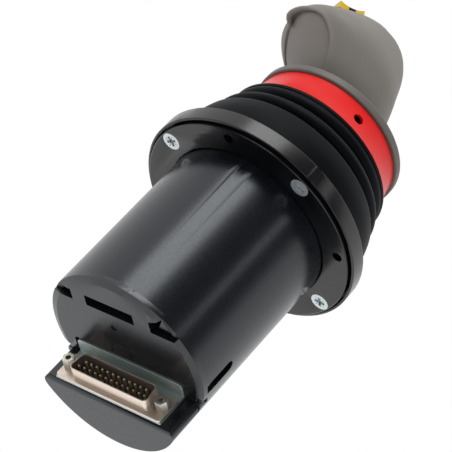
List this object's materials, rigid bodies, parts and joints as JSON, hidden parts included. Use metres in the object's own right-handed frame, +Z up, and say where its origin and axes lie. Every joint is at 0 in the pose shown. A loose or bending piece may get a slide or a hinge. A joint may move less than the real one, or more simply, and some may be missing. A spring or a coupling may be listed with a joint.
{
  "type": "industrial joystick",
  "caption": "Panel-mounted industrial joystick: a palm grip with a thumb rocker twists on a bellows-sealed stick that tilts both ways over a round housing with a D-sub connector.",
  "frame": {"origin": "centre of the face of the flange plate that lies on the panel", "axes": "+Z up the stick to the grip, away from the panel; +Y the way the D-sub connector faces; +X along its rows of contacts. The two tilt axes lie in the XY directions at 45 degrees, at Z 0.018."},
  "size_m": [0.104, 0.104, 0.2098],
  "materials": {
    "housing_black": "moulded, gloss",
    "cap_black": "moulded, satin gloss",
    "bezel_black": "moulded, satin gloss",
    "flange_black": "moulded, satin gloss",
    "bracket_steel": "zinc plated sheet",
    "shell_nickel": "drawn sheet steel, nickel plated",
    "insulator_black": "moulded",
    "contact_gold": "gold flashed",
    "jack_steel": "nickel plated",
    "screw_zinc": "zinc plated",
    "grub_black": "blackened steel",
    "bellows_rubber": "moulded, matt",
    "frame_zinc": "die-cast zinc alloy",
    "ring_aluminium": "turned",
    "bush_bronze": "sintered bronze",
    "shaft_steel": "ground",
    "spring_steel": "drawn wire and stamped strip",
    "inner_black": "moulded",
    "magnet_grey": "sintered",
    "board_green": "glass fibre laminate",
    "standoff_brass": "turned",
    "ribbon_grey": "extruded",
    "chip_black": "moulded",
    "collar_red": "moulded, satin",
    "grip_grey": "moulded, fine texture",
    "panel_grey": "moulded, fine texture",
    "rocker_black": "moulded",
    "rocker_yellow": "moulded"
  },
  "bodies": {
    "base": {"housing": "housing_black", "end_cap": "cap_black", "connector_bracket": "bracket_steel", "connector_shell": "shell_nickel", "connector_insulator": "insulator_black", "connector_contacts": "contact_gold", "connector_jackscrews": "jack_steel", "connector_nuts": "jack_steel", "flange_plate": "flange_black", "flange_screws": "screw_zinc", "bezel_ring": "bezel_black", "bellows": "bellows_rubber", "gimbal_frame": "frame_zinc", "post_bushes": "bush_bronze", "lateral_spring": "spring_steel", "sensor_board": "board_green", "main_board": "board_green", "upper_standoffs": "standoff_brass", "lower_standoffs": "standoff_brass", "board_screws": "screw_zinc", "ribbon_header": "inner_black", "ribbon_cable": "ribbon_grey", "hall_chip": "chip_black", "board_parts": "chip_black"},
    "gimbal": {"gimbal_ring": "ring_aluminium", "ring_pins": "shaft_steel", "ring_bushes": "bush_bronze"},
    "stick": {"stick_hub": "frame_zinc", "stick_axle": "shaft_steel", "forward_spring": "spring_steel", "magnet_holder": "inner_black", "tilt_magnet": "magnet_grey", "stick_tube": "shaft_steel", "spindle_bushes": "bush_bronze", "collar_ring": "collar_red", "collar_grub_screws": "grub_black", "twist_housing": "inner_black", "twist_spring": "spring_steel", "twist_board": "board_green"},
    "grip": {"twist_spindle": "shaft_steel", "spindle_clip": "spring_steel", "grip_skirt": "grip_grey", "grip_screws": "screw_zinc", "twist_magnet": "magnet_grey", "palm_shell": "grip_grey", "thumb_panel": "panel_grey", "rocker_frame": "rocker_black", "rocker_switch": "inner_black"},
    "rocker": {"thumb_rocker": "rocker_yellow", "rocker_pin": "shaft_steel"}
  },
  "joints": [
    {"name": "tilt_forward", "type": "hinge", "parent": "base", "child": "gimbal", "pos_m": [0, 0, 0.018], "axis": [0.7071, 0.7071, 0], "range_deg": [-20, 20], "stiffness_Nm_per_rad": 4.5, "deforming": ["lateral_spring", "bellows"]},
    {"name": "tilt_lateral", "type": "hinge", "parent": "gimbal", "child": "stick", "pos_m": [0, 0, 0.018], "axis": [-0.7071, 0.7071, 0], "range_deg": [-20, 20], "stiffness_Nm_per_rad": 4.5, "deforming": ["forward_spring", "bellows"]},
    {"name": "grip_twist", "type": "hinge", "parent": "stick", "child": "grip", "pos_m": [0, 0, 0.0586], "axis": [0, 0, 1], "range_deg": [-25, 25], "stiffness_Nm_per_rad": 1.2, "deforming": ["twist_spring"]},
    {"name": "rocker_tilt", "type": "hinge", "parent": "grip", "child": "rocker", "pos_m": [0.01367, 0.02852, 0.1031], "axis": [-0.7071, 0.7071, 0], "range_deg": [-10, 10], "stiffness_Nm_per_rad": 0.06}
  ]
}
